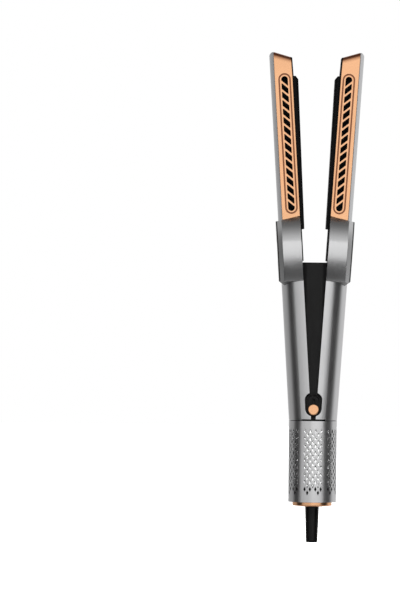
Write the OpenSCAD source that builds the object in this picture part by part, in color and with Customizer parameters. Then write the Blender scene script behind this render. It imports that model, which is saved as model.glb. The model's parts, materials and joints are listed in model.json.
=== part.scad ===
// Hot air styler: two mirrored arms that close on each other, on a round handle. Millimetres.
// Z runs up the handle from the foot of the filter cage. The front, with the vents and the lock,
// is at -Y, and the back, with the display and the keys, at +Y. The arms are drawn open, at rest.

/* [Handle] */
// Diameter of the handle, and of the two arms when they are closed
handle_d = 36; // [35:0.5:37]
// Height of the filter cage
cage_h = 61; // [60:0.5:62]
// Wall of the filter cage
cage_wall = 1.1; // [0.9:0.1:1.3]
// Diameter of the copper cap under the cage
end_ring_d = 29.6; // [28:0.2:29.8]
// Height of the copper cap in its middle
end_ring_h = 3.8; // [3:0.2:5]
// Length of the strain relief below the cap
relief_l = 26.6; // [20:0.2:40]
// Diameter of the strain relief at the cap
relief_top_d = 10.5; // [9.5:0.1:12]
// Diameter of the strain relief at its end
relief_end_d = 8.7; // [8:0.1:9.4]
// Diameter of the cable that the strain relief takes
cable_d = 6.6; // [6:0.1:7]

/* [Cage holes] */
// Number of perforated panels round the cage
panel_count = 6; // [6:1:6]
// Width of a diamond hole
hole_w = 1.9; // [1.5:0.1:2]
// Height of a diamond hole
hole_h = 3.9; // [3:0.1:4]
// Height from a hole to the next one in its column
hole_pitch = 5.4; // [5:0.1:5.6]
// Angle from a column of holes to the next
column_angle = 6.5; // [6:0.1:7]
// Height of the middle of the top row of holes
hole_top = 53.1; // [52:0.1:54]
// Number of holes in a full column
hole_rows = 9; // [7:1:9]

/* [Arms] */
// Lean of each arm at rest
arm_tilt = 3.7; // [3.5:0.1:3.9]
// Height of the point that the arms lean about
arm_foot = 62; // [61.8:0.1:62.2]
// Distance of each arm's flat inner edge from the arm's own axis
arm_edge = 1.7; // [1.5:0.05:1.8]
// Length of an arm, to the top of its outer corner
arm_l = 276.6; // [270:0.2:280]
// Wall of the arm's shell
shell_wall = 1.4; // [1.2:0.1:1.4]
// Slope of the tip, down to the inner edge
tip_slope = 19.6; // [15:0.1:22]
// Radius of the tip's outer corner and of its front edge
tip_round = 3; // [2:0.1:3.5]
// Distance of the flat copper face in front of the arm's axis
face_y = 9.7; // [9:0.1:10.4]
// Distance of the copper face's outer seam from the arm's axis
seam_x = 14.85; // [14.6:0.05:14.9]
// Thickness of the copper face
panel_t = 1.4; // [1.3:0.1:1.6]

/* [Vents] */
// Height of the vent's lower end along the arm
vent_low = 154.6; // [154:0.1:158]
// Height of the vent's upper end along the arm
vent_high = 260; // [250:0.1:262]
// Width of the vent over its groove
vent_w = 9.3; // [8.8:0.1:9.6]
// Distance of the vent's middle from the arm's own axis
vent_x = 7.65; // [7.4:0.05:8.2]
// Width of the groove
groove_w = 1.1; // [0.8:0.1:1.3]
// Depth of the groove
groove_depth = 0.9; // [0.6:0.1:0.9]
// Width of the slotted strip
slot_w = 4.9; // [4.4:0.1:5]
// Number of slanted slots between the two round-ended ones
slot_count = 14; // [12:1:15]
// Height from a slot to the next
slot_pitch = 6.33; // [6.2:0.01:6.4]
// Height of the bar between two slots
bar_h = 1.8; // [1.5:0.05:3]
// Slope of the slots
slot_slope = 42; // [35:1:45]

/* [Collars] */
// Height of the collar's lower end along the arm
collar_low = 101.2; // [100:0.05:104]
// Height of the seam to the copper face, at the face's outer edge
seam_low = 150.4; // [149:0.1:151]
// Slope of that seam, up to the inner edge
seam_slope = 9.8; // [5:0.1:12]
// Height of the hump's crest along the arm
crest_z = 129; // [127:0.5:131]
// Distance of the crest in front of the arm's axis
crest_y = 22; // [20:0.1:22.5]
// Distance of the collar's flat side from the arm's axis
ear_x = 20; // [19.8:0.1:20.5]
// Width of the bevel between the collar's front and its side
bevel_w = 4.1; // [3:0.1:4.5]
// Length of the finger pad
pad_l = 26; // [20:0.5:30]
// Width of the finger pad
pad_w = 13; // [10:0.2:14]
// Depth of the pad's dish
dish_depth = 1.3; // [0.8:0.1:1.4]

/* [Plates] */
// Height of the plate's lower end along the arm
plate_low = 142.8; // [140:0.1:146]
// Height of the plate's upper end along the arm
plate_high = 257.8; // [250:0.1:259]
// Width of the plate
plate_w = 21.2; // [18:0.1:22]
// Height of the plate's top bevel
plate_bevel = 2.6; // [1:0.1:3]
// Distance of the plate's face from the middle near its upper end, with the arms open
plate_open = 13.1; // [13:0.05:13.4]

/* [Core] */
// Height of the core's flat top
core_top = 179.5; // [178:0.1:179.6]
// Radius of the core's rounded sides
core_r = 15.9; // [15.5:0.1:15.9]
// Distance of the core's flat front and back from the middle
core_y = 15; // [14.8:0.1:15.2]
// Width of the display window
window_w = 10.9; // [9:0.1:11]
// Height of the display window's lower edge
window_low = 138.2; // [138:0.1:140]
// Height of the display window's upper edge
window_high = 162.9; // [160:0.1:165]

/* [Keys] */
// Width of the keys
key_w = 4.35; // [4:0.05:4.4]
// Height of the copper strip's upper end
keys_high = 134.9; // [134:0.1:135]
// Height of the copper strip's lower end
keys_low = 62.3; // [62.2:0.1:63]
// Height of the lowest groove between two keys
first_groove = 75.7; // [75:0.1:76]
// Height from a groove to the next
key_pitch = 15.03; // [14.9:0.01:15.1]
// Width of the groove between two keys
key_gap = 0.9; // [0.6:0.1:1.2]
// Distance of the keys' face from the middle
key_face = 17.3; // [17:0.1:17.4]
// Travel of a key
key_travel = 0.6; // [0.4:0.1:0.6]

/* [Lock] */
// Radius of the lock knob
knob_r = 4.05; // [3.8:0.05:4.05]
// Height of the knob's middle when it is down
knob_down = 69.4; // [69.2:0.1:69.6]
// Travel of the knob
lock_travel = 6.8; // [6:0.1:6.8]
// Radius of the knob's channel
channel_r = 4.35; // [4.35:0.05:4.4]

/* [Hinges] */
// Distance of each hinge from the middle
hinge_x = 8.8; // [8.7:0.1:8.9]
// Height of the hinges
hinge_z = 66; // [65.8:0.1:66.2]
// Radius of the hinge pins
pin_r = 1.25; // [1.1:0.05:1.3]
// Running clearance round the hinge pins
pin_gap = 0.05; // [0.02:0.01:0.08]

/* [Hidden] */
$fn = 96;

handle_r = handle_d / 2;
shell_in = handle_r - shell_wall;
frame_r = shell_in - 0.05;

// Cage, filter and blower
cage_in = handle_r - cage_wall;
cage_lip_r = end_ring_d / 2 + 0.3;
cage_lip_h = 1.4;
filter_low = 12;
filter_top = 55;
filter_out = 16.4;
filter_in = 15.5;
frame_tube_in = 13.9;
frame_tube_out = 15.3;
frame_foot_r = 14.5;
skirt_r = 16.2;
skirt_low = 1.8;
cable_r = cable_d / 2;
cable_hole_r = cable_r + 0.6;
relief_round = 0.8;
window_span = 40;
frame_window_low = 16;
frame_window_high = 50;
motor_r = 10.5;
motor_low = 14;
motor_high = 36;
shaft_r = 1.2;
shaft_gap = 0.05;
mount_r = 13.7;
mount_h = 3;
impeller_r = 10.2;
impeller_low = 38;
impeller_high = 48;
hub_r = 4;
blade_count = 9;
blade_t = 0.8;
blade_lean = 35;
blade_half = 6;

// Base block under the arms
base_low = filter_top;
base_r = cage_in - 0.3;
pedestal_x = 5.2;
pedestal_y = 8;
pedestal_top = 71;
ear_low_y = 8.5;
ear_high_y = 10.5;
barrel_r = 3.2;
port_x = 13.2;
port_w = 2.6;
port_y = 8;
wire_hole_r = 4.5;
rim_out = 16.2;
rim_in = 15.3;
rim_top = 61.9;
rim_low = cage_h - 0.6;
rim_gap = 0.3;
core_screw_y = 9.3;
core_screw_r = 0.8;
core_screw_head_r = 1.6;
core_screw_low = 56.5;
core_screw_high = 68.5;
screw_gap = 0.05;

// Core between the arms
core_overlap = 0.55;
core_wall = 1.5;
core_void_low = 96;
core_void_r = core_r - core_wall;
rib_x = 3.2;
rib_y = 16.6;
rib_top = 136.8;
key_side_gap = 0.175;
key_room_y = 12.5;
key_bottom_y = 16;
strip_y = 15.35;
strip_t = 0.45;
strip_edge = 0.1;
stem_w = 1.6;
stem_l = 4;
board_y = 13.6;
board_t = 0.8;
board_w = 4.2;
switch_h = 0.5;
stem_room = 0.3;
stem_end_y = board_y + switch_h + key_travel + 0.05;
window_t = 0.9;
module_t = 2.4;
module_inset = 0.5;

// Lock
boss_r = 4.8;
boss_y = 17;
channel_floor = 15.2;
channel_back = 2.3;
flange_y = 14.2;
flange_r = 6.2;
flange_down = 1;
flange_up = 1.5;
knob_y = 18.2;
knob_t = 2.8;
stem_r = 1;
slider_y = 13.4;
slider_t = 1.8;
slider_w = 2;
slider_low = 66;
slider_high = 92;
slider_room = 0.25;
detent_t = 0.4;
detent_y = 11.2;
notch_r = 5.6;
notch_low = 8.1;
notch_high = 14.6;

// Arms, along their own axes
foot_rim = 61.3;
foot_gap = 62.1;
key_notch = 1.75;
key_notch_top = 75;
open_from = 134;
slot_room = 0.5;
slot_rounds = [0.35, 0.5];
tip_x = 15.15;
below_seam = [[-5, seam_low + (tip_x + 5) * tan(seam_slope)],
              [30, seam_low - (30 - tip_x) * tan(seam_slope)]];
bend_from = 258;
bend = 0.3;
lip_x = 0.7;
cover_x = 2.3;
bulkhead_z = 119;
bulkhead_t = 2;
channel_x = 10.6;
channel_wall = 1.2;
channel_low = 9;
web_high = 12;
web_low = 1.5;
web_inset = 0.4;
barrel_low_y = -8.2;
barrel_high_y = 3.6;
boss_x = 16;
screw_y = 4;
screw_face_x = 0.85;
screw_z = [131, 265];
screw_boss_r = 2.2;
screw_r = 0.9;
screw_head_r = 1.7;
screw_l = 4;
duct_x = [2.6, 13.2];
duct_back = 2.5;
duct_wall = 0.9;
heater_x = [3.4, 8.4];
heater_y = [-1, 12];
fin_count = 18;
fin_gap = 3;
plate_y = 4;
plate_back = 2.3;
plate_side_gap = 0.2;
plate_edge = 1.2;
pad_y = -3.2;
pad_z = 127;
dish_y = 1;
dish_r = 30;
back_bow_r = 44.6;
back_bow_y = 6;
hump_top_r = 28;
hump_low_r = 80;
bottom_slope = 0.295;
bottom_bend_y = 8;
ear_low = 104.75;
bevel_depth = 5;
bevel_narrowing = 0.9;
spring_wire_r = 0.4;
spring_r = 2;
spring_turns = 5;
spring_leg = 8;
groove_half = 0.1;
plate_open_z = 304.8;
plate_slope = 0.0508;

// Half the core's width at a height, a little more than half the open gap there
function core_half(z) = arm_edge + (z - arm_foot) * tan(arm_tilt) + core_overlap;

// Distance of the plate's face from the middle at a height, with the arms open
function plate_x_at(z) = plate_open + (z - plate_open_z) * plate_slope;

// Height of the tip's slanted end over a point across the arm
function tip_z(x) = arm_l + (x - tip_x) * tan(tip_slope);

// Lowest and highest edge of a key, counted from the bottom
function key_low(i) = i == 0 ? keys_low : first_groove + (i - 1) * key_pitch + key_gap / 2;
function key_high(i) = i == 4 ? keys_high : first_groove + i * key_pitch - key_gap / 2;

// A corner of an outline as an arc of n steps
function corner(a, b, c, r, n) =
    let (u = (a - b) / norm(a - b),
         v = (c - b) / norm(c - b),
         half = acos(u * v) / 2,
         centre = b + (u + v) / norm(u + v) * r / sin(half),
         from = b + u * r / tan(half) - centre,
         to = b + v * r / tan(half) - centre)
    [for (i = [0 : n]) let (w = from * (1 - i / n) + to * i / n) centre + w * r / norm(w)];

// An outline with its corners rounded, each by its own radius, where 0 leaves a corner sharp
function rounded(points, radii, n = 6) =
    let (last = len(points) - 1)
    [for (i = [0 : last])
        each (radii[i] > 0
            ? corner(points[(i + last) % (last + 1)], points[i], points[(i + 1) % (last + 1)], radii[i], n)
            : [points[i]])];

// An outline drawn in X and Z, as a slab from y0 to y1
module along_y(y0, y1) {
    translate([0, y1, 0]) rotate([90, 0, 0]) linear_extrude(y1 - y0) children();
}

// An outline drawn in Y and Z, as a slab from x0 to x1
module along_x(x0, x1) {
    translate([x0, 0, 0]) rotate([90, 0, 90]) linear_extrude(x1 - x0) children();
}

// A box between two corners
module block(low, high) {
    translate(low) cube(high - low);
}

// A round-ended strip of radius r about x, from z0 to z1 between its end centres
module strip(r, z0, z1, x = 0) {
    translate([x, z0]) circle(r);
    translate([x, z1]) circle(r);
    translate([x - r, z0]) square([2 * r, z1 - z0]);
}

// Places an arm's piece on the right or the left, leaning as it does at rest
module on_right() {
    translate([0, 0, arm_foot]) rotate([0, arm_tilt, 0]) children();
}

module on_left() {
    mirror([1, 0, 0]) on_right() children();
}

// Handle, blower and cord end

module filter_cage() {
    color("silver") difference() {
        cylinder(r = handle_r, h = cage_h);
        translate([0, 0, cage_lip_h]) cylinder(r = cage_in, h = cage_h);
        translate([0, 0, -1]) cylinder(r = cage_lip_r, h = cage_h);
        cage_holes();
    }
}

module cage_holes() {
    for (panel = [0 : panel_count - 1])
        for (column = [-3 : 3]) {
            odd = abs(column) % 2 == 1;
            first = odd ? hole_top : hole_top - hole_pitch / 2;
            rows = column == 0 ? hole_rows - 1 : hole_rows;
            for (row = [0 : rows - 1])
                rotate([0, 0, -90 + panel * 360 / panel_count + column * column_angle])
                    translate([0, 0, first - row * hole_pitch])
                        along_x(cage_in - 0.5, handle_r + 0.5)
                            polygon([[hole_w / 2, 0], [0, hole_h / 2], [-hole_w / 2, 0], [0, -hole_h / 2]]);
        }
}

module filter_sleeve() {
    color("gainsboro") difference() {
        translate([0, 0, filter_low]) cylinder(r = filter_out, h = filter_top - filter_low);
        cylinder(r = filter_in, h = cage_h);
    }
}

module intake_frame() {
    color("dimgray") difference() {
        union() {
            cylinder(r = frame_foot_r, h = filter_top);
            translate([0, 0, skirt_low]) cylinder(r = skirt_r, h = filter_low - skirt_low);
            translate([0, 0, skirt_low]) cylinder(r = frame_tube_out, h = filter_top - skirt_low);
        }
        translate([0, 0, 2 * skirt_low]) cylinder(r = frame_tube_in, h = filter_top);
        translate([0, 0, -1]) cylinder(r = cable_hole_r, h = filter_top);
        for (side = [0 : 5])
            rotate([0, 0, side * 60])
                translate([0, 0, frame_window_low])
                    rotate_extrude(angle = window_span)
                        translate([frame_tube_in - 1, 0])
                            square([4, frame_window_high - frame_window_low]);
    }
}

module motor() {
    color("gray") difference() {
        union() {
            translate([0, 0, motor_low]) cylinder(r = motor_r, h = motor_high - motor_low);
            translate([0, 0, motor_low - 3]) cylinder(r = hub_r, h = 3);
        }
        translate([0, 0, motor_low - 2]) cylinder(r = shaft_r + shaft_gap, h = motor_high);
        for (slot = [0 : 7])
            rotate([0, 0, slot * 45])
                block([motor_r - 1.5, -1, motor_low + 6], [motor_r + 1, 1, motor_high - 6]);
    }
}

module motor_mount() {
    color("black") for (z = [motor_low + 1, motor_high - mount_h - 1])
        translate([0, 0, z]) difference() {
            cylinder(r = mount_r, h = mount_h);
            translate([0, 0, -1]) cylinder(r = motor_r, h = mount_h + 2);
            for (side = [0 : 2])
                rotate([0, 0, 30 + side * 120]) block([motor_r + 1, -4, -1], [mount_r + 2, 4, mount_h + 1]);
        }
}

module impeller() {
    color("lightgray") {
        translate([0, 0, motor_low + 2]) cylinder(r = shaft_r, h = impeller_high - motor_low - 2);
        difference() {
            union() {
                translate([0, 0, impeller_low]) cylinder(r = hub_r, h = impeller_high - impeller_low);
                intersection() {
                    translate([0, 0, impeller_low])
                        cylinder(r = impeller_r, h = impeller_high - impeller_low);
                    for (blade = [0 : blade_count - 1])
                        rotate([0, 0, blade * 360 / blade_count])
                            translate([0, 0, (impeller_low + impeller_high) / 2])
                                rotate([blade_lean, 0, 0])
                                    block([hub_r - 0.5, -blade_t / 2, -blade_half],
                                          [impeller_r + 1, blade_t / 2, blade_half]);
                }
            }
            translate([0, 0, motor_low]) cylinder(r = shaft_r, h = impeller_high);
        }
    }
}

module end_ring() {
    profile = rounded([[relief_top_d / 2 + 0.05, 0], [relief_top_d / 2 + 0.05, -end_ring_h],
                       [end_ring_d / 2, 1.5 - end_ring_h], [end_ring_d / 2, 0]], [0, 0, 1.5, 0.3]);
    color("sandybrown") rotate_extrude() polygon(profile);
}

module strain_relief() {
    bottom = -end_ring_h - relief_l;
    profile = rounded([[cable_r, bottom], [relief_end_d / 2, bottom], [relief_top_d / 2, -end_ring_h],
                       [relief_top_d / 2, 0], [cable_r, 0]], [0, relief_round, 0, 0, 0]);
    color("black") rotate_extrude() polygon(profile);
}

module cord_clamp() {
    low = 2 * skirt_low;
    color("dimgray") difference() {
        block([-8, -5, low], [8, 5, low + 6]);
        translate([0, 0, low - 1]) cylinder(r = cable_r, h = 8);
        for (x = [-6, 6]) translate([x, 0, low - 1]) cylinder(r = 0.9, h = 8);
        block([-9, -0.4, low - 1], [9, 0.4, low + 7]);
    }
}

// Base block with the ears that carry the hinge pins

module handle_base() {
    color("#262626") {
        base_body();
        // Low rim behind the gap under the arms, open at the back for the rib of the keys
        difference() {
            translate([0, 0, rim_low]) cylinder(r = rim_out, h = rim_top - rim_low);
            translate([0, 0, rim_low - 1]) cylinder(r = rim_in, h = rim_top - rim_low + 2);
            block([-rib_x - rim_gap, 0, rim_low - 1], [rib_x + rim_gap, handle_r, rim_top + 1]);
        }
    }
}

module base_body() {
    difference() {
        union() {
            translate([0, 0, base_low]) cylinder(r = base_r, h = cage_h - base_low);
            block([-pedestal_x, -pedestal_y, cage_h - 1], [pedestal_x, pedestal_y, pedestal_top]);
            for (side = [-1, 1]) for (y = [-ear_high_y, ear_low_y]) {
                translate([side * hinge_x, y, hinge_z]) rotate([-90, 0, 0])
                    cylinder(r = barrel_r, h = ear_high_y - ear_low_y);
                block([side * hinge_x - barrel_r, y, cage_h - 1],
                      [side * hinge_x + barrel_r, y + ear_high_y - ear_low_y, hinge_z]);
            }
        }
        for (side = [-1, 1]) {
            hinge_bore(side, pin_r);
            block([side * port_x - port_w / 2, -port_y, base_low - 1],
                  [side * port_x + port_w / 2, port_y, cage_h + 1]);
            translate([0, side * core_screw_y, 0]) core_screw_hole();
        }
        translate([0, 0, base_low - 1]) cylinder(r = wire_hole_r, h = cage_h - base_low - 1);
    }
}

module hinge_bore(side, r) {
    translate([side * hinge_x, -handle_r, hinge_z]) rotate([-90, 0, 0]) cylinder(r = r, h = handle_d);
}

module hinge_pin(side) {
    color("lightgray") translate([side * hinge_x, -ear_high_y - 0.3, hinge_z])
        rotate([-90, 0, 0]) cylinder(r = pin_r, h = 2 * ear_high_y + 0.6);
}

// The closed coil about the left pin, with one leg on the base and one toward the core
module hinge_spring() {
    wire = 2 * spring_wire_r;
    length = spring_turns * wire;
    color("gray") translate([-hinge_x, barrel_high_y + 0.5, hinge_z]) {
        rotate([-90, 0, 0]) difference() {
            cylinder(r = spring_r + spring_wire_r, h = length);
            translate([0, 0, -1]) cylinder(r = spring_r - spring_wire_r, h = length + 2);
            for (turn = [1 : spring_turns - 1])
                translate([0, 0, turn * wire - groove_half]) difference() {
                    cylinder(r = spring_r + 1, h = 2 * groove_half);
                    cylinder(r = spring_r + spring_wire_r / 2, h = 2 * groove_half);
                }
        }
        block([spring_r, 0.1, cage_h + 0.1 - hinge_z], [spring_r + 0.5, 0.6, 0]);
        block([spring_r, length - 0.6, 0], [spring_r + 0.5, length - 0.1, spring_leg]);
    }
}

module core_screw_hole() {
    translate([0, 0, base_low - 1])
        cylinder(r = core_screw_head_r + screw_gap, h = core_screw_low - base_low + 2.5);
    translate([0, 0, base_low]) cylinder(r = core_screw_r + screw_gap, h = core_screw_high - base_low + 0.5);
}

module core_screws() {
    color("silver") for (side = [-1, 1]) translate([0, side * core_screw_y, core_screw_low]) difference() {
        union() {
            cylinder(r = core_screw_head_r, h = 1.5);
            cylinder(r = core_screw_r, h = core_screw_high - core_screw_low);
        }
        translate([0, 0, -1]) cylinder(r = core_screw_r, h = 1.8, $fn = 6);
    }
}

// Core between the arms

module core_outline(inset = 0, low = 61, high = core_top) {
    polygon([[inset - core_half(low), low], [core_half(low) - inset, low],
             [core_half(high) - inset, high], [inset - core_half(high), high]]);
}

module core_body() {
    intersection() {
        along_y(-core_y, core_y) core_outline();
        translate([0, 0, cage_h]) cylinder(r = core_r, h = core_top - cage_h);
    }
}

module core_hollow() {
    intersection() {
        along_y(core_wall - core_y, core_y - core_wall)
            core_outline(core_wall, core_void_low, core_top - core_wall);
        translate([0, 0, core_void_low]) cylinder(r = core_void_r, h = core_top);
    }
    block([-pedestal_x, -pedestal_y, cage_h - 1], [pedestal_x, pedestal_y, pedestal_top]);
    for (side = [-1, 1]) translate([0, side * core_screw_y, base_low])
        cylinder(r = core_screw_r + screw_gap, h = core_screw_high - base_low + 0.5);
}

module core_front_cover() {
    color("#262626") difference() {
        union() {
            intersection() {
                core_body();
                block([-handle_r, -handle_r, 0], [handle_r, 0, core_top + 1]);
            }
            along_y(-boss_y, channel_back - core_y) strip(boss_r, knob_down, knob_down + lock_travel);
            // Flange behind the arms' round notches
            along_y(-flange_y, channel_back - core_y)
                strip(flange_r, knob_down - flange_down, knob_down + lock_travel + flange_up);
        }
        core_hollow();
        along_y(-handle_r, -channel_floor) strip(channel_r, knob_down, knob_down + lock_travel);
        along_y(-channel_floor - 1, -slider_y)
            strip(stem_r + slider_room, knob_down, knob_down + lock_travel);
        block([-slider_w / 2 - slider_room, -slider_y - slider_room / 2, slider_low - 1],
              [slider_w / 2 + slider_room, 0.3 - detent_y + detent_t, slider_high + lock_travel + 1]);
    }
}

module core_back_cover() {
    color("#262626") difference() {
        union() {
            intersection() {
                core_body();
                block([-handle_r, 0, 0], [handle_r, handle_r, core_top + 1]);
            }
            intersection() {
                block([-rib_x, key_room_y - 1, cage_h + 0.2], [rib_x, rib_y, rib_top]);
                cylinder(r = rib_y, h = core_top);
            }
        }
        core_hollow();
        block([-key_w / 2 - key_side_gap, key_room_y, keys_low - 0.2],
              [key_w / 2 + key_side_gap, handle_r, keys_high + 0.2]);
        block([-window_w / 2, core_y - core_wall - 3, window_low], [window_w / 2, handle_r, window_high]);
    }
}

module display_window() {
    color("#4c4c4c")
        block([-window_w / 2, core_y - window_t, window_low], [window_w / 2, core_y, window_high]);
}

module display_module() {
    back = core_y - window_t - 0.1;
    color("#303030") block([module_inset - window_w / 2, back - module_t, window_low + module_inset],
                           [window_w / 2 - module_inset, back, window_high - module_inset]);
}

module control_board() {
    color("darkgreen") block([-board_w / 2, board_y - board_t, keys_low + 0.7],
                             [board_w / 2, board_y, keys_high - 0.4]);
}

module key_switches() {
    color("lightgray") for (i = [0 : 4]) {
        middle = (key_low(i) + key_high(i)) / 2;
        block([-1.5, board_y, middle - 2.2], [1.5, board_y + switch_h, middle + 2.2]);
    }
}

module key_strip() {
    color("peru") difference() {
        block([-key_w / 2 - strip_edge, strip_y - strip_t, keys_low - strip_edge],
              [key_w / 2 + strip_edge, strip_y, keys_high + strip_edge]);
        for (i = [0 : 4]) {
            middle = (key_low(i) + key_high(i)) / 2;
            block([-stem_w / 2 - stem_room, strip_y - 1, middle - stem_l / 2 - stem_room],
                  [stem_w / 2 + stem_room, strip_y + 1, middle + stem_l / 2 + stem_room]);
        }
    }
}

module key(i) {
    middle = (key_low(i) + key_high(i)) / 2;
    edge = 0.35;
    outline = rounded([[-key_w / 2, key_bottom_y], [key_w / 2, key_bottom_y],
                       [key_w / 2, key_face], [-key_w / 2, key_face]], [0, 0, edge, edge], 3);
    color("sandybrown") {
        translate([0, 0, key_low(i)]) linear_extrude(key_high(i) - key_low(i)) polygon(outline);
        block([-stem_w / 2, stem_end_y, middle - stem_l / 2],
              [stem_w / 2, key_bottom_y + 0.2, middle + stem_l / 2]);
    }
}

// Lock

module lock_knob() {
    profile = rounded([[0, 0], [knob_r, 0], [knob_r, knob_t], [0, knob_t]], [0, 0.3, 0.7, 0], 4);
    color("sandybrown") translate([0, knob_t - knob_y, knob_down]) rotate([90, 0, 0]) {
        rotate_extrude() polygon(profile);
        translate([0, 0, knob_t + slider_y - knob_y]) cylinder(r = stem_r, h = knob_y - slider_y - 1);
    }
}

module lock_slider() {
    color("#303030") {
        block([-slider_w / 2, -slider_y, slider_low], [slider_w / 2, slider_t - slider_y, slider_high]);
    }
}

module lock_detent() {
    color("silver") {
        block([-slider_w / 2, -detent_y, slider_low - 0.5],
              [slider_w / 2, detent_t - detent_y, slider_high - 6]);
    }
}

// Arm pieces, each drawn upright about the arm's own axis, with the outer side at +X

module arm_outline(edge = arm_edge) {
    polygon(rounded([[edge, -6], [edge, bend_from], [edge + bend, tip_z(edge + bend)],
                     [handle_r, tip_z(handle_r)], [handle_r, -6]], [0, 0, 0.4, tip_round, 0]));
}

// Rounds the front edge of the tip, along its slope
module tip_front_round() {
    translate([tip_x, 0, arm_l]) rotate([0, -tip_slope, 0]) difference() {
        block([-20, -face_y - 1, -tip_round], [10, tip_round - face_y, 2]);
        translate([-21, tip_round - face_y, -tip_round]) rotate([0, 90, 0])
            cylinder(r = tip_round + 0.02, h = 32);
    }
}

module upright(at_side = 1) {
    rotate([0, -arm_tilt, 0]) translate([0, 0, -arm_foot]) children();
}

module arm_shell() {
    color("silver") difference() {
        union() {
            intersection() {
                difference() {
                    translate([0, 0, -6]) cylinder(r = handle_r, h = arm_l + 10);
                    translate([0, 0, -7]) cylinder(r = shell_in, h = arm_l + 12);
                }
                along_y(-handle_r, handle_r) arm_outline();
            }
            for (z = screw_z) translate([cover_x, screw_y, z]) rotate([0, 90, 0])
                cylinder(r = screw_boss_r, h = boss_x - cover_x);
        }
        block([0, -handle_r - 1, open_from], [handle_r + 1, -face_y, arm_l + 10]);
        block([0, -handle_r - 1, open_from], [seam_x + 0.05, panel_t - face_y, arm_l + 10]);
        tip_front_round();
        along_y(-handle_r - 1, -barrel_r) strip(notch_r, notch_low, notch_high);
        along_y(barrel_r, handle_r + 1)
            polygon([[0, -6], [arm_edge + key_notch, -6], [arm_edge + key_notch, key_notch_top],
                     [arm_edge, key_notch_top + key_notch], [0, key_notch_top + key_notch]]);
        for (z = screw_z) translate([0, screw_y, z]) rotate([0, 90, 0])
            cylinder(r = screw_r + screw_gap, h = cover_x + screw_l + 1);
        upright() {
            block([-5, -20, 50], [30, 20, foot_rim]);
            block([-5, -20, 50], [hinge_x, 20, foot_gap]);
        }
    }
}

module arm_frame() {
    color("#262626") difference() {
        union() {
            // Air channel along the outer side, up to the bulkhead
            intersection() {
                translate([0, 0, channel_low]) cylinder(r = frame_r, h = bulkhead_z - channel_low + 1);
                block([channel_x, -20, 0], [20, 20, arm_l]);
            }
            // Web and barrel of the hinge
            intersection() {
                block([hinge_x - 0.5, barrel_low_y + web_inset, web_low],
                      [boss_x, barrel_high_y - web_inset, web_high]);
                translate([0, 0, web_low]) cylinder(r = frame_r, h = web_high);
            }
            upright() translate([hinge_x, barrel_low_y, hinge_z]) rotate([-90, 0, 0])
                cylinder(r = barrel_r, h = barrel_high_y - barrel_low_y);
            // Bulkhead and inner cover of the upper arm
            intersection() {
                union() {
                    block([lip_x, panel_t - face_y, bulkhead_z], [20, 20, bulkhead_z + bulkhead_t]);
                    block([lip_x, panel_t - face_y, bulkhead_z], [cover_x, 20, arm_l]);
                }
                translate([0, 0, bulkhead_z]) cylinder(r = frame_r, h = arm_l);
                along_y(-20, 20) arm_outline(lip_x);
            }
            intersection() {
                block([lip_x, 0.2 - face_y, bulkhead_z], [arm_edge, handle_r - 0.6, arm_l]);
                along_y(-20, 20) arm_outline(lip_x);
            }
        }
        // Inside of the air channel
        intersection() {
            translate([0, 0, channel_low - 1]) cylinder(r = frame_r - channel_wall, h = bulkhead_z + 4);
            block([channel_x + channel_wall, -20, 0], [20, 20, arm_l]);
        }
        // Opening for the plate
        block([0, plate_y - plate_w / 2 - plate_side_gap, plate_low - plate_side_gap],
              [cover_x + 1, plate_y + plate_w / 2 + plate_side_gap, plate_high + plate_side_gap]);
        for (z = screw_z) translate([0, screw_y, z]) rotate([0, 90, 0]) {
            cylinder(r = screw_r + screw_gap, h = 6);
            cylinder(r = screw_head_r + screw_gap, h = screw_face_x + 0.8);
        }
        upright() hinge_bore(1, pin_r + pin_gap);
    }
}

module vent_panel() {
    reach = vent_w / 2;
    color("sandybrown") difference() {
        intersection() {
            union() {
                intersection() {
                    block([0, -face_y, 0], [seam_x, panel_t - face_y, arm_l + 10]);
                    cylinder(r = handle_r, h = arm_l + 10);
                }
                // Return over the tip's front edge
                intersection() {
                    translate([tip_x, 0, arm_l]) rotate([0, -tip_slope, 0])
                        block([-20, -face_y, -tip_round - 2], [10, tip_round + panel_t - face_y, 2]);
                    cylinder(r = frame_r, h = arm_l + 10);
                    block([cover_x, -20, 0], [20, 20, arm_l + 10]);
                }
            }
            along_y(-20, 20) arm_outline();
            along_y(-20, 20) above_seam();
        }
        tip_front_round();
        along_y(-face_y - 1, groove_depth - face_y)
            strip(reach, vent_low + reach, vent_high - reach, vent_x);
        along_y(-20, 0)
            strip(slot_w / 2 + slot_room, vent_low + reach, vent_high - reach, vent_x);
    }
}

module above_seam() {
    polygon(concat(below_seam, [[30, arm_l + 20], [-5, arm_l + 20]]));
}

module vent_grille() {
    reach = vent_w / 2;
    color("sandybrown") along_y(-face_y, groove_depth - face_y) difference() {
        strip(reach - groove_w, vent_low + reach, vent_high - reach, vent_x);
        translate([vent_x, (vent_low + vent_high) / 2]) vent_slots();
    }
}

// The slanted slots about the vent's middle, and the round-ended one at each end
module vent_slots() {
    half = slot_w / 2;
    rise = half * tan(slot_slope);
    open_h = slot_pitch - bar_h;
    last = (slot_count * slot_pitch) / 2;
    end = (vent_high - vent_low - vent_w) / 2;
    for (i = [0 : slot_count - 1])
        translate([0, (i - (slot_count - 1) / 2) * slot_pitch])
            polygon(rounded([[-half, -rise - open_h / 2], [half, rise - open_h / 2],
                             [half, rise + open_h / 2], [-half, open_h / 2 - rise]],
                            concat(slot_rounds, slot_rounds), 3));
    for (turn = [0, 180]) rotate(turn) intersection() {
        strip(half, 0, end);
        polygon([[-half - 1, last + bar_h / 2 - rise - tan(slot_slope)],
                 [half + 1, last + bar_h / 2 + rise + tan(slot_slope)],
                 [half + 1, last + 20], [-half - 1, last + 20]]);
    }
}

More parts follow.
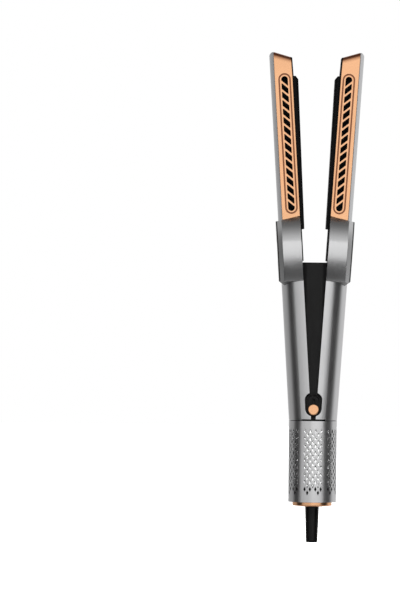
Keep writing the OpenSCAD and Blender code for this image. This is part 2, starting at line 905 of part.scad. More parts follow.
module air_duct() {
    color("#1c1c1c") difference() {
        block([duct_x[0], panel_t - face_y, vent_low - 1.5], [duct_x[1], -duct_back, vent_high + 2]);
        block([duct_x[0] + duct_wall, -face_y, vent_low - 0.6],
              [duct_x[1] - duct_wall, -duct_back - duct_wall, vent_high + 1]);
    }
}

module heater() {
    step = (plate_high - plate_low - 10) / fin_count;
    color("gray") difference() {
        block([heater_x[0], heater_y[0], plate_low + 3], [heater_x[1], heater_y[1], plate_high - 5]);
        for (i = [0 : fin_count - 1])
            block([heater_x[0] + 1.5, heater_y[0] - 1, plate_low + 5 + i * step],
                  [heater_x[1] + 1, heater_y[1] + 1, plate_low + 5 + i * step + fin_gap]);
    }
    color("gray")
        block([plate_back, heater_y[0] + 2, plate_low + 3], [heater_x[0], heater_y[1] - 2, plate_high - 5]);
}

module plate() {
    foot_x = plate_x_at(arm_foot) * cos(arm_tilt);
    lean = tan(arm_tilt - atan(plate_slope));
    face_low = foot_x - plate_low * lean;
    face_high = foot_x - (plate_high - plate_bevel) * lean;
    front = plate_y - plate_w / 2;
    back = plate_y + plate_w / 2;
    color("#111111") intersection() {
        along_y(front, back)
            polygon(rounded([[plate_back, plate_low], [face_low, plate_low],
                             [face_high, plate_high - plate_bevel], [face_high + 2, plate_high],
                             [plate_back, plate_high]], [0, 0.5, 0.8, 0.5, 0], 4));
        linear_extrude(arm_l)
            polygon([[plate_back, front], [plate_back, back], [face_low + 0.4, back],
                     [face_high, back - plate_edge], [face_high, front + plate_edge],
                     [face_low + 0.4, front]]);
    }
}

// Outline of the collar's hump in Y and Z about its crest, with one radius above and one below
module hump(r_top, r_low) {
    intersection() {
        translate([r_top, 0]) circle(r_top);
        translate([0, 0]) square(2 * r_top);
    }
    intersection() {
        translate([r_low, 0]) circle(r_low, $fn = 180);
        translate([0, -r_low]) square([2 * r_low, r_low]);
    }
}

module collar() {
    bevel_angle = atan(bevel_depth / bevel_w);
    ear_rise = (ear_low - collar_low) / bevel_w;
    color("darkgray") difference() {
        intersection() {
            along_x(arm_edge, ear_x) intersection() {
                translate([-crest_y, crest_z]) hump(hump_top_r, hump_low_r);
                translate([back_bow_y - back_bow_r, pad_z]) circle(back_bow_r, $fn = 180);
                polygon([[-30, collar_low + (30 - bottom_bend_y) * bottom_slope],
                         [-bottom_bend_y, collar_low], [30, collar_low], [30, arm_l], [-30, arm_l]]);
            }
            translate([ear_x - bevel_w, -crest_y, crest_z]) rotate([0, 0, bevel_angle])
                along_x(-60, 60)
                    hump(bevel_narrowing * hump_top_r / cos(bevel_angle), hump_low_r / cos(bevel_angle));
            along_y(-30, 30) polygon(concat(below_seam, [[30, ear_low + (30 - ear_x) * ear_rise],
                                                         [ear_x - bevel_w, collar_low], [-5, collar_low]]));
        }
        intersection() {
            cylinder(r = handle_r, h = arm_l);
            union() {
                block([0, -30, 0], [30, 30, open_from]);
                block([0, panel_t - face_y, 0], [30, 30, arm_l]);
            }
        }
        block([0, -face_y, open_from], [seam_x + 1, panel_t - face_y, arm_l]);
        pad_body(0);
        finger_dish();
    }
}

// Lens outline of the finger pad through the collar's side, less a gap all round
module pad_body(gap) {
    half_l = pad_l / 2;
    half_w = pad_w / 2;
    bow = (half_l * half_l + half_w * half_w) / (2 * half_w);
    along_x(ear_x - 6, ear_x + 1) intersection() {
        translate([pad_y + bow - half_w, pad_z]) circle(bow - gap);
        translate([pad_y - bow + half_w, pad_z]) circle(bow - gap);
    }
}

module finger_dish() {
    translate([ear_x - dish_depth + dish_r, dish_y, pad_z]) sphere(dish_r);
}

module finger_pad() {
    color("silver") difference() {
        intersection() {
            pad_body(0.05);
            block([0, -30, 0], [ear_x, 30, arm_l]);
        }
        cylinder(r = handle_r + 0.05, h = arm_l);
        finger_dish();
    }
}

module tip_cap() {
    color("silver") intersection() {
        translate([tip_x, 0, arm_l]) rotate([0, -tip_slope, 0])
            block([-20, tip_round + panel_t - face_y, -1.5], [10, 20, 0]);
        cylinder(r = frame_r, h = arm_l + 10);
        block([cover_x, -20, 0], [20, 20, arm_l + 10]);
        along_y(-20, 20) arm_outline();
    }
}

module arm_screws() {
    color("silver")
        for (z = screw_z) translate([screw_face_x, screw_y, z]) rotate([0, 90, 0]) difference() {
            union() {
                cylinder(r = screw_head_r, h = 0.8);
                cylinder(r = screw_r, h = screw_l + 1);
            }
            translate([0, 0, -1]) cylinder(r = screw_r, h = 1.5, $fn = 6);
        }
}

handle_base();
intake_frame();
filter_sleeve();
filter_cage();
motor();
motor_mount();
impeller();
end_ring();
strain_relief();
cord_clamp();
core_front_cover();
core_back_cover();
core_screws();
control_board();
key_switches();
key_strip();
key(0);  // power_key
key(1);  // cool_key
key(2);  // airflow_key
key(3);  // temperature_key
key(4);  // mode_key
display_window();
display_module();
lock_knob();
lock_slider();
lock_detent();
hinge_pin(-1);  // left_hinge_pin
hinge_pin(1);  // right_hinge_pin
hinge_spring();  // left_hinge_spring
mirror([1, 0, 0]) hinge_spring();  // right_hinge_spring
on_left() arm_shell();  // left_arm_shell
on_right() arm_shell();  // right_arm_shell
on_left() arm_frame();  // left_arm_frame
on_right() arm_frame();  // right_arm_frame
on_left() vent_panel();  // left_vent_panel
on_right() vent_panel();  // right_vent_panel
on_left() vent_grille();  // left_vent_grille
on_right() vent_grille();  // right_vent_grille
on_left() air_duct();  // left_air_duct
on_right() air_duct();  // right_air_duct
on_left() heater();  // left_heater
on_right() heater();  // right_heater
on_left() plate();  // left_plate
on_right() plate();  // right_plate
on_left() collar();  // left_collar
on_right() collar();  // right_collar
on_left() finger_pad();  // left_finger_pad
on_right() finger_pad();  // right_finger_pad
on_left() tip_cap();  // left_tip_cap
on_right() tip_cap();  // right_tip_cap
on_left() arm_screws();  // left_arm_screws
on_right() arm_screws();  // right_arm_screws
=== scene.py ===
# Hot air styler: two satin arms on a handle with a perforated cage, upright in a plain white studio.
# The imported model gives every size. This script adds finishes, softened edges, the woven filter,
# the copper end cap, light and camera. All sizes are in metres, and the front faces -Y.
import json
import math
import bpy
import bmesh
from mathutils import Matrix, Vector


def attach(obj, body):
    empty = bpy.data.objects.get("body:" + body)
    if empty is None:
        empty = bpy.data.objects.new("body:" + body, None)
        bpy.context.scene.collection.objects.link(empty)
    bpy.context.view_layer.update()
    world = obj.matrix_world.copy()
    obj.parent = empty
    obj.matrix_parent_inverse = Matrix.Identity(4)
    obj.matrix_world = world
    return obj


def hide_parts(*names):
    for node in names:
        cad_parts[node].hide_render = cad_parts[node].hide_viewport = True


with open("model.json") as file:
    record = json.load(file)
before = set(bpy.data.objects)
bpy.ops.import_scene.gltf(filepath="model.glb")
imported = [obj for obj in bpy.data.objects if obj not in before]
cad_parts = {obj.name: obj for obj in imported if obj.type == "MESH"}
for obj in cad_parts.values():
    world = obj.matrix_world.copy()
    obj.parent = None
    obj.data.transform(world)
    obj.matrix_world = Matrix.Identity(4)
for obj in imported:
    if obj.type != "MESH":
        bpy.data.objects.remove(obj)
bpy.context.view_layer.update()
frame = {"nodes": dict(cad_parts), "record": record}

nodes = frame["nodes"]
print("frame loaded:", len(nodes), "nodes")

cameraSetup = {
    "lens": 400.0,  # a long lens, so that the two arms keep their straight outlines
    "sensor": 36.0,
    "fieldHeight": 0.45012,  # what the frame takes in at the handle's axis
    "middle": (-0.08565, 0.0, 0.15052),  # the point at the middle of the frame
    "roll": 0.0106,  # the styler leans a little to the right in the picture
    "nearest": 0.1,
    "farthest": 60.0,
}


def placeCamera(setup):
    data = bpy.data.cameras.new("studioCamera")
    data.lens = setup["lens"]
    data.sensor_width = setup["sensor"]
    distance = setup["lens"] / setup["sensor"] * setup["fieldHeight"]
    data.clip_start = setup["nearest"]
    data.clip_end = setup["farthest"]
    camera = bpy.data.objects.new("studioCamera", data)
    bpy.context.scene.collection.objects.link(camera)
    upright = Matrix.Rotation(math.radians(90), 4, "X")  # from looking down to looking along +Y
    turn = Matrix.Rotation(-setup["roll"], 4, "Y") @ upright
    place = Vector(setup["middle"]) - Vector((0, distance, 0))
    camera.matrix_world = Matrix.Translation(place) @ turn
    bpy.context.scene.camera = camera


studio = {
    "floorHeight": -0.075,  # the cage slides down to 64 mm below the handle's foot
    "floorRadius": 7.0,
    "floorSides": 96,
    "floorGlow": 0.95,
    "floorPaper": 0.9,  # how pale and how dull the paper is
    # The room is what the metal mirrors. The numbers from -1 to 1 are parts of a direction.
    "backWhite": 0.85,  # behind the styler, which the tubes' edges mirror
    "backFrom": 0.0,
    "backTo": 0.38,
    "leftGlow": 0.58,  # share of the light that is left at the far left
    "leftFrom": -0.8,
    "leftTo": -0.1,
    # height of the direction, brightness there
    "roomByHeight": [(-1.0, 1.0), (-0.75, 0.9), (-0.6, 0.08), (-0.2, 0.03), (0.0, 0.03), (0.28, 0.04),
                     (0.42, 0.85), (0.55, 0.8), (0.72, 0.58), (0.87, 0.35), (0.97, 0.19), (1.0, 0.15)],
    # one wide panel before the styler, with a dimmer left part
    "frontPanel": {"size": (9.0, 1.86), "distance": 3.0, "turn": -5.0, "middle": 0.46, "radiance": 1.0,
                   "leftPart": 0.485, "leftRadiance": 0.74},
    # a small strong light that no metal mirrors, for the woven filter behind the cage's holes
    "topPanel": {"size": (0.5, 0.5), "aside": 0.1, "forward": 1.9, "height": 1.36, "aim": 0.15,
                 "radiance": 520.0},
}


def addPanel(name, size, place, target, radiance, mirrored=True):
    data = bpy.data.lights.new(name, "AREA")
    data.shape = "RECTANGLE"
    data.size, data.size_y = size
    data.energy = radiance * math.pi * size[0] * size[1]
    light = bpy.data.objects.new(name, data)
    bpy.context.scene.collection.objects.link(light)
    light.location = place
    light.rotation_mode = "QUATERNION"
    light.rotation_quaternion = (Vector(target) - Vector(place)).to_track_quat("-Z", "Y")
    light.visible_camera = False
    light.visible_glossy = mirrored
    return light


def glowRoom(setup):
    world = bpy.data.worlds.new("whiteStudio")
    bpy.context.scene.world = world
    world.use_nodes = True
    tree = world.node_tree
    tree.nodes.clear()
    output = tree.nodes.new("ShaderNodeOutputWorld")
    mix = tree.nodes.new("ShaderNodeMixShader")
    seen = tree.nodes.new("ShaderNodeLightPath")
    plain = tree.nodes.new("ShaderNodeBackground")
    room = tree.nodes.new("ShaderNodeBackground")
    direction = tree.nodes.new("ShaderNodeTexCoord")
    split = tree.nodes.new("ShaderNodeSeparateXYZ")
    behind = tree.nodes.new("ShaderNodeMapRange")
    height = tree.nodes.new("ShaderNodeMapRange")
    steps = tree.nodes.new("ShaderNodeValToRGB")
    brighter = tree.nodes.new("ShaderNodeMath")
    left = tree.nodes.new("ShaderNodeMapRange")
    dimmed = tree.nodes.new("ShaderNodeMath")
    plain.inputs["Color"].default_value = (1, 1, 1, 1)  # what the camera itself sees
    behind.interpolation_type = "SMOOTHSTEP"
    behind.inputs["From Min"].default_value = setup["backFrom"]
    behind.inputs["From Max"].default_value = setup["backTo"]
    behind.inputs["To Max"].default_value = setup["backWhite"]
    height.inputs["From Min"].default_value = -1
    while len(steps.color_ramp.elements) < len(setup["roomByHeight"]):
        steps.color_ramp.elements.new(0.5)
    for stop, (level, glow) in zip(steps.color_ramp.elements, setup["roomByHeight"]):
        stop.position = (level + 1) / 2
        stop.color = (glow, glow, glow, 1)
    brighter.operation = "MAXIMUM"
    left.interpolation_type = "SMOOTHSTEP"
    left.inputs["From Min"].default_value = setup["leftFrom"]
    left.inputs["From Max"].default_value = setup["leftTo"]
    left.inputs["To Min"].default_value = setup["leftGlow"]
    dimmed.operation = "MULTIPLY"
    tree.links.new(direction.outputs["Generated"], split.inputs[0])
    tree.links.new(split.outputs["Y"], behind.inputs["Value"])
    tree.links.new(split.outputs["Z"], height.inputs["Value"])
    tree.links.new(height.outputs["Result"], steps.inputs["Fac"])
    tree.links.new(behind.outputs["Result"], brighter.inputs[0])
    tree.links.new(steps.outputs["Color"], brighter.inputs[1])
    tree.links.new(split.outputs["X"], left.inputs["Value"])
    tree.links.new(left.outputs["Result"], dimmed.inputs[0])
    tree.links.new(brighter.outputs[0], dimmed.inputs[1])
    tree.links.new(dimmed.outputs[0], room.inputs["Strength"])
    tree.links.new(seen.outputs["Is Camera Ray"], mix.inputs[0])
    tree.links.new(room.outputs[0], mix.inputs[1])
    tree.links.new(plain.outputs[0], mix.inputs[2])
    tree.links.new(mix.outputs[0], output.inputs["Surface"])


def hangPanels(setup):
    front = setup["frontPanel"]
    angle = math.radians(front["turn"])
    across = Vector((math.cos(angle), math.sin(angle), 0))
    ahead = Vector((-math.sin(angle), math.cos(angle), 0))
    middle = Vector((0, 0, front["middle"])) - ahead * front["distance"]
    width, tall = front["size"]
    parting = width * (front["leftPart"] - 0.5)
    for name, start, end, radiance in (("frontPanelLeft", -width / 2, parting, front["leftRadiance"]),
                                       ("frontPanelRight", parting, width / 2, front["radiance"])):
        place = middle + across * (start + end) / 2
        addPanel(name, (end - start, tall), place, place + ahead, radiance)
    top = setup["topPanel"]
    addPanel("topPanel", top["size"], (top["aside"], -top["forward"], top["height"]),
             (0, 0, top["aim"]), top["radiance"], mirrored=False)


def layFloor(setup):
    bm = bmesh.new()
    bmesh.ops.create_circle(bm, cap_ends=True, segments=setup["floorSides"], radius=setup["floorRadius"],
                            matrix=Matrix.Translation((0, 0, setup["floorHeight"])))
    mesh = bpy.data.meshes.new("studioFloor")
    bm.to_mesh(mesh)
    bm.free()
    floor = bpy.data.objects.new("studioFloor", mesh)
    bpy.context.scene.collection.objects.link(floor)
    floor.visible_glossy = False
    floor.visible_shadow = False
    paper = bpy.data.materials.new("whitePaper")
    paper.use_nodes = True
    shader = paper.node_tree.nodes["Principled BSDF"]
    pale = setup["floorPaper"]
    shader.inputs["Base Color"].default_value = (pale, pale, pale, 1)
    shader.inputs["Roughness"].default_value = pale
    shader.inputs["Specular IOR Level"].default_value = 0.0
    shader.inputs["Emission Color"].default_value = (1, 1, 1, 1)
    shader.inputs["Emission Strength"].default_value = setup["floorGlow"]
    mesh.materials.append(paper)


placeCamera(cameraSetup)
glowRoom(studio)
hangPanels(studio)
layFloor(studio)
bpy.context.scene.view_settings.view_transform = "Standard"
print("camera and studio ready")

# A finish reads the object's own coordinates, which are the styler's. Its grain is a size in metres,
# stretch draws the grain out, tint is how much the colour varies, and spread how much the roughness.
# A shade lays a second, darker colour over a place, mostly painted shade and painted reflection: from and
# to are measured in the direction along, where x counts outwards to both sides. Below is its highest z, and
# facing leaves out what faces sideways.
finishes = {
    "satinSilver": {"colour": (0.73, 0.73, 0.735), "metallic": 1.0, "roughness": 0.3, "spread": 0.015,
                    "grain": 0.00022, "bump": 0.05, "stretch": (1, 1, 1), "tint": 0.03},
    "collarSatin": {"colour": (0.7, 0.7, 0.705), "metallic": 1.0, "roughness": 0.25, "spread": 0.04,
                    "grain": 0.0002, "bump": 0.04, "stretch": (1, 1, 1), "tint": 0.03,
                    # painted shade on the underside, and a darker rim beside the finger pad
                    "shades": [{"read": "Normal", "along": (0, 0, -1), "from": 0.3, "to": 0.5,
                                "colour": (0.2, 0.2, 0.2)},
                               {"along": (0.998, 0, -0.0645), "from": 0.01485, "to": 0.01515, "facing": 0.3,
                                "colour": (0.1, 0.1, 0.1)}]},
    "cageSilver": {"colour": (0.73, 0.73, 0.735), "metallic": 1.0, "roughness": 0.3, "spread": 0.015,
                   "grain": 0.00022, "bump": 0.05, "stretch": (1, 1, 1), "tint": 0.03,
                   # the shadow line on top of the cage
                   "shades": [{"along": (0, 0, 1), "from": 0.0607, "to": 0.0610,
                               "colour": (0.03, 0.03, 0.03)}]},
    "padSilver": {"colour": (0.8, 0.79, 0.79), "metallic": 1.0, "roughness": 0.14, "spread": 0.03,
                  "grain": 0.0003, "bump": 0.02, "stretch": (1, 1, 1), "tint": 0.02},
    "polishedCopper": {"colour": (0.97, 0.53, 0.29), "metallic": 1.0, "roughness": 0.24, "spread": 0.03,
                       "grain": 0.0003, "bump": 0.012, "stretch": (1, 1, 1), "tint": 0.02},
    "ventCopper": {"colour": (0.97, 0.53, 0.29), "metallic": 1.0, "roughness": 0.24, "spread": 0.03,
                   "grain": 0.0003, "bump": 0.012, "stretch": (1, 1, 1), "tint": 0.02,
                   # painted shade on the bottom of the groove round the slots, and a painted dark
                   # reflection as a band at the tip
                   "shades": [{"along": (0, 1, 0), "from": -0.0096, "to": -0.0091, "below": 0.3232,
                               "colour": (0.26, 0.105, 0.055)},
                              {"along": (-0.25, 0, 1), "from": 0.3232, "to": 0.3274,
                               "colour": (0.25, 0.09, 0.045)}]},
    "keyCopper": {"colour": (0.97, 0.53, 0.29), "metallic": 1.0, "roughness": 0.32, "spread": 0.05,
                  "grain": 0.00025, "bump": 0.04, "stretch": (1, 1, 0.15), "tint": 0.04},
    "shadowCopper": {"colour": (0.4, 0.17, 0.09), "metallic": 0.6, "roughness": 0.5, "spread": 0.06,
                     "grain": 0.0003, "bump": 0.05, "stretch": (1, 1, 1), "tint": 0.1},
    "blackCover": {"colour": (0.0011, 0.0011, 0.0011), "metallic": 0.0, "roughness": 0.42, "spread": 0.06,
                   "grain": 0.00035, "bump": 0.12, "stretch": (1, 1, 1), "tint": 0.15, "specular": 0.14},
    "blackInner": {"colour": (0.0005, 0.0005, 0.0005), "metallic": 0.0, "roughness": 0.5, "spread": 0.06,
                   "grain": 0.0004, "bump": 0.12, "stretch": (1, 1, 1), "tint": 0.15, "specular": 0.04},
    "blackRubber": {"colour": (0.0004, 0.0004, 0.0004), "metallic": 0.0, "roughness": 0.24, "spread": 0.03,
                    "grain": 0.0004, "bump": 0.05, "stretch": (1, 1, 1), "tint": 0.12, "specular": 0.22},
    "plateCoating": {"colour": (0.0004, 0.0004, 0.00042), "metallic": 0.0, "roughness": 0.3, "spread": 0.05,
                     "grain": 0.0005, "bump": 0.03, "stretch": (1, 1, 0.2), "tint": 0.1, "specular": 0.06},
    "darkGlass": {"colour": (0.03, 0.03, 0.03), "metallic": 0.0, "roughness": 0.12, "spread": 0.02,
                  "grain": 0.002, "bump": 0.0, "stretch": (1, 1, 1), "tint": 0.04, "specular": 0.35},
    "bareSteel": {"colour": (0.55, 0.55, 0.56), "metallic": 1.0, "roughness": 0.3, "spread": 0.08,
                  "grain": 0.0004, "bump": 0.05, "stretch": (1, 1, 0.2), "tint": 0.05},
    "heaterAluminium": {"colour": (0.6, 0.6, 0.61), "metallic": 1.0, "roughness": 0.42, "spread": 0.08,
                        "grain": 0.0004, "bump": 0.06, "stretch": (1, 1, 1), "tint": 0.06},
    "silverWeave": {"colour": (0.2, 0.2, 0.2), "metallic": 0.0, "roughness": 0.5, "spread": 0.05,
                    "grain": 0.0002, "bump": 0.05, "stretch": (1, 1, 1), "tint": 0.02, "specular": 0.5},
    "greenBoard": {"colour": (0.006, 0.05, 0.02), "metallic": 0.0, "roughness": 0.4, "spread": 0.05,
                   "grain": 0.0006, "bump": 0.05, "stretch": (1, 1, 1), "tint": 0.2, "specular": 0.5},
}

surface = {
    "fineDetail": 2,  # of the grain
    "broadScale": 45,  # of the slow change in roughness
    "broadDetail": 3,
    "broadFrom": 0.3,
    "broadTo": 0.7,
    "smoothest": 0.02,
    "bumpDepth": 0.00005,
}


def addShade(tree, place, colour, shade):
    split = tree.nodes.new("ShaderNodeSeparateXYZ")
    outward = tree.nodes.new("ShaderNodeMath")
    outward.operation = "ABSOLUTE"
    both = tree.nodes.new("ShaderNodeCombineXYZ")
    reach = tree.nodes.new("ShaderNodeVectorMath")
    reach.operation = "DOT_PRODUCT"
    reach.inputs[1].default_value = shade["along"]
    fade = tree.nodes.new("ShaderNodeMapRange")
    fade.interpolation_type = "SMOOTHSTEP"
    fade.inputs["From Min"].default_value = shade["from"]
    fade.inputs["From Max"].default_value = shade["to"]
    limit = tree.nodes.new("ShaderNodeMath")
    limit.operation = "LESS_THAN"
    limit.inputs[1].default_value = shade.get("below", 1.0)
    turned = tree.nodes.new("ShaderNodeSeparateXYZ")
    across = tree.nodes.new("ShaderNodeMath")
    across.operation = "ABSOLUTE"
    facing = tree.nodes.new("ShaderNodeMath")
    facing.operation = "GREATER_THAN"
    facing.inputs[1].default_value = shade.get("facing", -1.0)
    part = tree.nodes.new("ShaderNodeMath")
    part.operation = "MULTIPLY"
    amount = tree.nodes.new("ShaderNodeMath")
    amount.operation = "MULTIPLY"
    mix = tree.nodes.new("ShaderNodeMix")
    mix.data_type = "RGBA"
    mix.inputs["B"].default_value = (*shade["colour"], 1)
    tree.links.new(place.outputs[shade.get("read", "Object")], split.inputs[0])
    tree.links.new(split.outputs["X"], outward.inputs[0])
    tree.links.new(outward.outputs[0], both.inputs["X"])
    tree.links.new(split.outputs["Y"], both.inputs["Y"])
    tree.links.new(split.outputs["Z"], both.inputs["Z"])
    tree.links.new(both.outputs[0], reach.inputs[0])
    tree.links.new(reach.outputs["Value"], fade.inputs["Value"])
    tree.links.new(split.outputs["Z"], limit.inputs[0])
    tree.links.new(fade.outputs["Result"], amount.inputs[0])
    tree.links.new(place.outputs["Normal"], turned.inputs[0])
    tree.links.new(turned.outputs["Y"], across.inputs[0])
    tree.links.new(across.outputs[0], facing.inputs[0])
    tree.links.new(limit.outputs[0], part.inputs[0])
    tree.links.new(facing.outputs[0], part.inputs[1])
    tree.links.new(part.outputs[0], amount.inputs[1])
    tree.links.new(amount.outputs[0], mix.inputs["Factor"])
    tree.links.new(colour, mix.inputs["A"])
    return mix.outputs["Result"]


def mixFinish(name, look, surface):
    material = bpy.data.materials.new(name)
    material.use_nodes = True
    tree = material.node_tree
    shader = tree.nodes["Principled BSDF"]
    shader.inputs["Metallic"].default_value = look["metallic"]
    shader.inputs["Specular IOR Level"].default_value = look.get("specular", 0.5)
    place = tree.nodes.new("ShaderNodeTexCoord")
    stretch = tree.nodes.new("ShaderNodeMapping")
    stretch.inputs["Scale"].default_value = look["stretch"]
    fine = tree.nodes.new("ShaderNodeTexNoise")
    fine.inputs["Scale"].default_value = 1 / look["grain"]
    fine.inputs["Detail"].default_value = surface["fineDetail"]
    broad = tree.nodes.new("ShaderNodeTexNoise")
    broad.inputs["Scale"].default_value = surface["broadScale"]
    broad.inputs["Detail"].default_value = surface["broadDetail"]
    rough = tree.nodes.new("ShaderNodeMapRange")
    rough.inputs["From Min"].default_value = surface["broadFrom"]
    rough.inputs["From Max"].default_value = surface["broadTo"]
    rough.inputs["To Min"].default_value = max(surface["smoothest"], look["roughness"] - look["spread"])
    rough.inputs["To Max"].default_value = look["roughness"] + look["spread"]
    tint = tree.nodes.new("ShaderNodeMix")
    tint.data_type = "RGBA"
    low = [channel * (1 - look["tint"]) for channel in look["colour"]]
    high = [min(1, channel * (1 + look["tint"])) for channel in look["colour"]]
    tint.inputs["A"].default_value = (*low, 1)
    tint.inputs["B"].default_value = (*high, 1)
    tree.links.new(place.outputs["Object"], stretch.inputs["Vector"])
    tree.links.new(stretch.outputs["Vector"], fine.inputs["Vector"])
    tree.links.new(place.outputs["Object"], broad.inputs["Vector"])
    tree.links.new(broad.outputs["Fac"], rough.inputs["Value"])
    tree.links.new(fine.outputs["Fac"], tint.inputs["Factor"])
    colour = tint.outputs["Result"]
    for shade in look.get("shades", []):
        colour = addShade(tree, place, colour, shade)
    tree.links.new(colour, shader.inputs["Base Color"])
    tree.links.new(rough.outputs["Result"], shader.inputs["Roughness"])
    if look["bump"] > 0:
        bump = tree.nodes.new("ShaderNodeBump")
        bump.inputs["Strength"].default_value = look["bump"]
        bump.inputs["Distance"].default_value = surface["bumpDepth"]
        tree.links.new(fine.outputs["Fac"], bump.inputs["Height"])
        tree.links.new(bump.outputs["Normal"], shader.inputs["Normal"])
    return material


material = {name: mixFinish(name, look, surface) for name, look in finishes.items()}
print("finishes mixed:", len(material))

nodeFinish = {
    "handle_base": "blackInner", "intake_frame": "blackInner", "filter_sleeve": "heaterAluminium",
    "filter_cage": "cageSilver", "motor": "bareSteel", "motor_mount": "blackRubber",
    "impeller": "blackInner", "end_ring": "polishedCopper", "strain_relief": "blackRubber",
    "cord_clamp": "blackInner", "core_front_cover": "blackCover", "core_back_cover": "blackCover",
    "core_screws": "bareSteel", "control_board": "greenBoard", "key_switches": "blackInner",
    "key_strip": "shadowCopper", "power_key": "keyCopper", "cool_key": "keyCopper",
    "airflow_key": "keyCopper", "temperature_key": "keyCopper", "mode_key": "keyCopper",
    "display_window": "darkGlass", "display_module": "blackInner", "lock_knob": "polishedCopper",
    "lock_slider": "blackCover", "lock_detent": "bareSteel",
}
armFinish = {
    "hinge_pin": "bareSteel", "hinge_spring": "bareSteel", "arm_shell": "satinSilver",
    "arm_frame": "blackInner", "vent_panel": "ventCopper", "vent_grille": "ventCopper",
    "air_duct": "blackInner", "heater": "heaterAluminium", "plate": "plateCoating",
    "collar": "collarSatin", "finger_pad": "padSilver", "tip_cap": "blackCover",
    "arm_screws": "bareSteel",
}
for side in ("left", "right"):
    for piece, finishName in armFinish.items():
        nodeFinish[side + "_" + piece] = finishName


def dressNode(name, finishName):
    mesh = nodes[name].data
    mesh.materials.clear()
    mesh.materials.append(material[finishName])


for name, finishName in nodeFinish.items():
    dressNode(name, finishName)
print("nodes dressed:", len(nodeFinish))

record = frame["record"]
bodyOf = {name: body for body, members in record["behaviour"]["bodies"].items() for name in members}


def settlePiece(bm, name, finishName, body, standsFor):
    for face in bm.faces:
        face.smooth = True
    mesh = bpy.data.meshes.new(name)
    bm.to_mesh(mesh)
    bm.free()
    mesh.materials.append(material[finishName])
    piece = bpy.data.objects.new(name, mesh)
    bpy.context.scene.collection.objects.link(piece)
    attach(piece, body)
    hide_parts(*standsFor)
    return piece


def evenShading(piece):
    even = piece.modifiers.new("evenShading", "WEIGHTED_NORMAL")
    even.mode = "FACE_AREA"
    even.keep_sharp = True


softEdges = {  # in metres; each piece keeps its place and loses only its sharp edges
    "lock_knob": 0.0003, "display_window": 0.00015,
    "core_front_cover": 0.00015, "core_back_cover": 0.00015, "strain_relief": 0.0003,
    "power_key": 0.00015, "cool_key": 0.00015, "airflow_key": 0.00015,
    "temperature_key": 0.00015, "mode_key": 0.00015,
}
softArmEdges = {
    "arm_shell": 0.00015, "collar": 0.0002, "vent_panel": 0.00012, "vent_grille": 0.0001,
    "finger_pad": 0.00015, "plate": 0.0002, "tip_cap": 0.00015, "arm_frame": 0.00015,
}
for side in ("left", "right"):
    for piece, width in softArmEdges.items():
        softEdges[side + "_" + piece] = width

softening = {
    "weld": 0.00003,
    "flat": math.radians(0.3),  # faces that meet flatter than this become one
    "corner": math.radians(30),  # edges sharper than this are rounded
    "segments": 2,
}


# A rounded copy of a node stands in for it. The node's own mesh stays as it is.
def softenNode(name, width, look):
    bm = bmesh.new()
    bm.from_mesh(nodes[name].data)
    bmesh.ops.remove_doubles(bm, verts=bm.verts[:], dist=look["weld"])
    bmesh.ops.dissolve_degenerate(bm, edges=bm.edges[:], dist=look["weld"])
    bmesh.ops.dissolve_limit(bm, angle_limit=look["flat"], verts=bm.verts[:], edges=bm.edges[:])
    corners = [edge for edge in bm.edges if edge.is_manifold and edge.calc_face_angle() > look["corner"]]
    bmesh.ops.bevel(bm, geom=corners, offset=width, offset_type="OFFSET", segments=look["segments"],
                    profile=0.5, affect="EDGES", clamp_overlap=False, material=-1)
    piece = settlePiece(bm, name + ".soft", nodeFinish[name], bodyOf[name], [name])
    piece.data.set_sharp_from_angle(angle=look["corner"])
    evenShading(piece)


for name, width in softEdges.items():
    softenNode(name, width, softening)
print("edges softened:", len(softEdges))

filterWeave = {
    "low": 0.012, "high": 0.055,
    "outside": 0.01635, "inside": 0.0155,
    "cells": 96, "rows": 43,  # openings of about one millimetre
    "wire": 0.00052, "thickness": 0.0003,
    "gap": 0.0002,  # between the weave and the cloth that lines it
    "margin": 0.25,  # how far the cloth stays inside the weave's ends, in rows
    "clothSteps": 72,
}


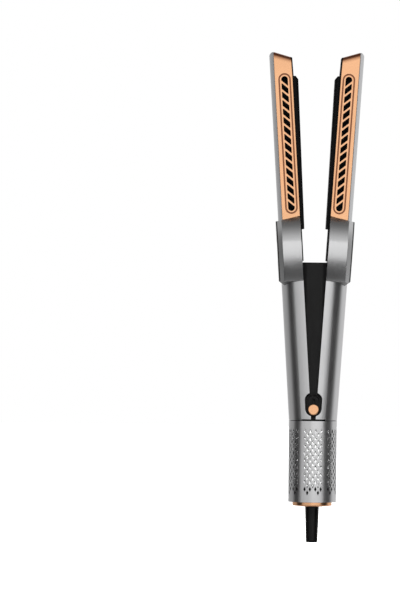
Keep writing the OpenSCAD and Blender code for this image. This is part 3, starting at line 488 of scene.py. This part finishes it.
def weaveFilter(look):
    bm = bmesh.new()
    rowHeight = (look["high"] - look["low"]) / look["rows"]
    bmesh.ops.create_circle(bm, segments=look["cells"], radius=look["outside"],
                            matrix=Matrix.Translation((0, 0, look["low"])))
    edges = bm.edges[:]
    for row in range(look["rows"]):
        grown = bmesh.ops.extrude_edge_only(bm, edges=edges)["geom"]
        raised = [item for item in grown if isinstance(item, bmesh.types.BMVert)]
        bmesh.ops.translate(bm, vec=(0, 0, rowHeight), verts=raised)
        edges = [item for item in grown if isinstance(item, bmesh.types.BMEdge)]
    bmesh.ops.recalc_face_normals(bm, faces=bm.faces)
    cells = bm.faces[:]
    if cells[0].normal.dot(cells[0].calc_center_median()) < 0:
        bmesh.ops.reverse_faces(bm, faces=cells)
    bmesh.ops.inset_individual(bm, faces=cells, thickness=look["wire"] / 2, use_even_offset=True)
    bmesh.ops.delete(bm, geom=cells, context="FACES")
    bmesh.ops.solidify(bm, geom=bm.faces[:], thickness=look["thickness"])
    cloth = look["outside"] - look["thickness"] - look["gap"]
    bottom = look["low"] + rowHeight * look["margin"]
    top = look["high"] - rowHeight * look["margin"]
    corners = [(look["inside"], bottom), (cloth, bottom), (cloth, top), (look["inside"], top)]
    ring = [bm.verts.new((radius, 0, height)) for radius, height in corners]
    profile = [bm.edges.new((ring[i], ring[(i + 1) % 4])) for i in range(4)]
    bmesh.ops.spin(bm, geom=ring + profile, axis=(0, 0, 1), cent=(0, 0, 0), steps=look["clothSteps"],
                   angle=2 * math.pi, use_merge=True)
    return bm


endCap = {
    "wall": 0.0148, "bore": 0.0053,
    "wallFoot": -0.0024, "foot": -0.0038,
    "edge": 0.0007,  # rounding of the lower edge
    "edgeSegments": 6,
    "topEdge": 0.0002,
    "topSegments": 3,
    "steps": 96,
    "corner": math.radians(40),  # edges sharper than this stay crisp
}


def turnEndCap(look):
    bm = bmesh.new()
    outline = [(look["bore"], 0.0), (look["bore"], look["foot"]),
               (look["wall"], look["wallFoot"] - look["edge"] / 2), (look["wall"], 0.0)]
    ring = [bm.verts.new((radius, 0, height)) for radius, height in outline]
    bm.faces.new(ring)
    bmesh.ops.bevel(bm, geom=[ring[2]], offset=look["edge"], offset_type="OFFSET",
                    segments=look["edgeSegments"], profile=0.5, affect="VERTICES", material=-1)
    top = max(bm.verts, key=lambda vertex: vertex.co.x + 2 * vertex.co.z)  # the upper outer corner
    bmesh.ops.bevel(bm, geom=[top], offset=look["topEdge"], offset_type="OFFSET",
                    segments=look["topSegments"], profile=0.5, affect="VERTICES", material=-1)
    profile = bm.verts[:] + bm.edges[:]
    bmesh.ops.delete(bm, geom=bm.faces[:], context="FACES_ONLY")
    bmesh.ops.spin(bm, geom=profile, axis=(0, 0, 1), cent=(0, 0, 0), steps=look["steps"],
                   angle=2 * math.pi, use_merge=True)
    bmesh.ops.recalc_face_normals(bm, faces=bm.faces)
    return bm


cap = settlePiece(turnEndCap(endCap), "endCap", "polishedCopper", "handle", ["end_ring"])
cap.data.set_sharp_from_angle(angle=endCap["corner"])
evenShading(cap)
print("end cap turned")

settlePiece(weaveFilter(filterWeave), "filterWeave", "silverWeave", "handle", ["filter_sleeve"])
print("filter woven")
